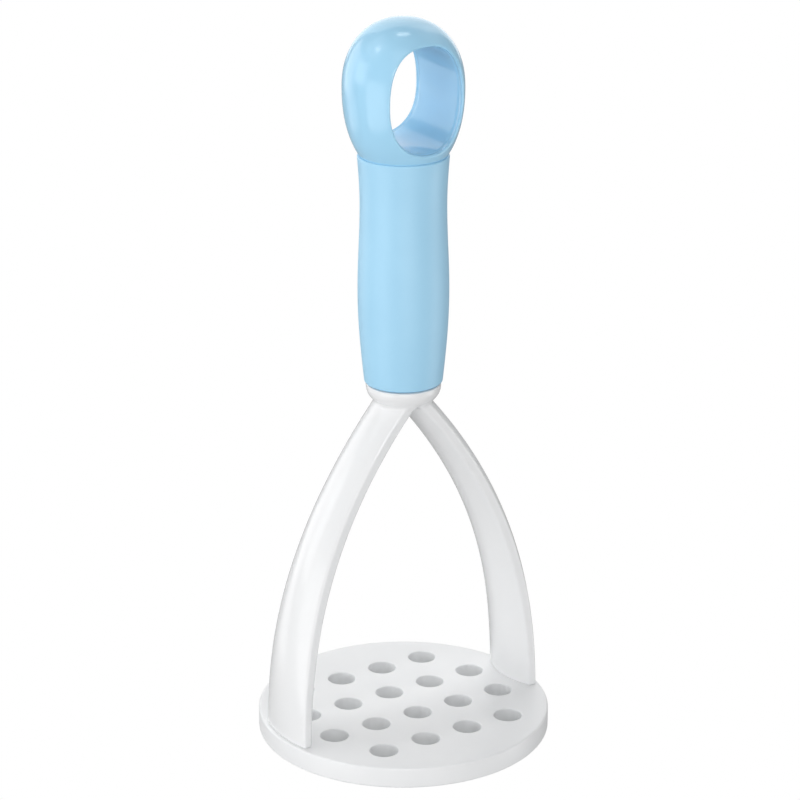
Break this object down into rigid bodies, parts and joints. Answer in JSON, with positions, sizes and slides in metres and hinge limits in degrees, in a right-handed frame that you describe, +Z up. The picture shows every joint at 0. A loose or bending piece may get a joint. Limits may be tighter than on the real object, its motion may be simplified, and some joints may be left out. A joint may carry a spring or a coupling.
{
  "type": "potato masher",
  "caption": "Hand potato masher: a perforated round disc on two curved legs under a soft-gripped handle that ends in a hanging eye.",
  "frame": {"origin": "centre of the mashing disc's underside, on the handle's axis, so the masher stands on z = 0", "axes": "+Z up along the handle's axis towards the hanging eye; the two legs stand apart along X; the hanging eye runs through along Y"},
  "size_m": [0.09, 0.09, 0.2238],
  "materials": {
    "disc_plastic": "white moulded polypropylene, satin",
    "yoke_plastic": "white moulded polypropylene, softly polished",
    "core_plastic": "natural white moulded plastic, unpolished, hidden in the grip",
    "grip_soft_plastic": "light blue soft-touch elastomer, satin",
    "head_plastic": "light blue moulded plastic, glossy"
  },
  "bodies": {
    "root": {"mashing_disc": "disc_plastic", "yoke": "yoke_plastic", "grip_core": "core_plastic", "grip_sleeve": "grip_soft_plastic", "loop_head": "head_plastic"}
  },
  "joints": []
}
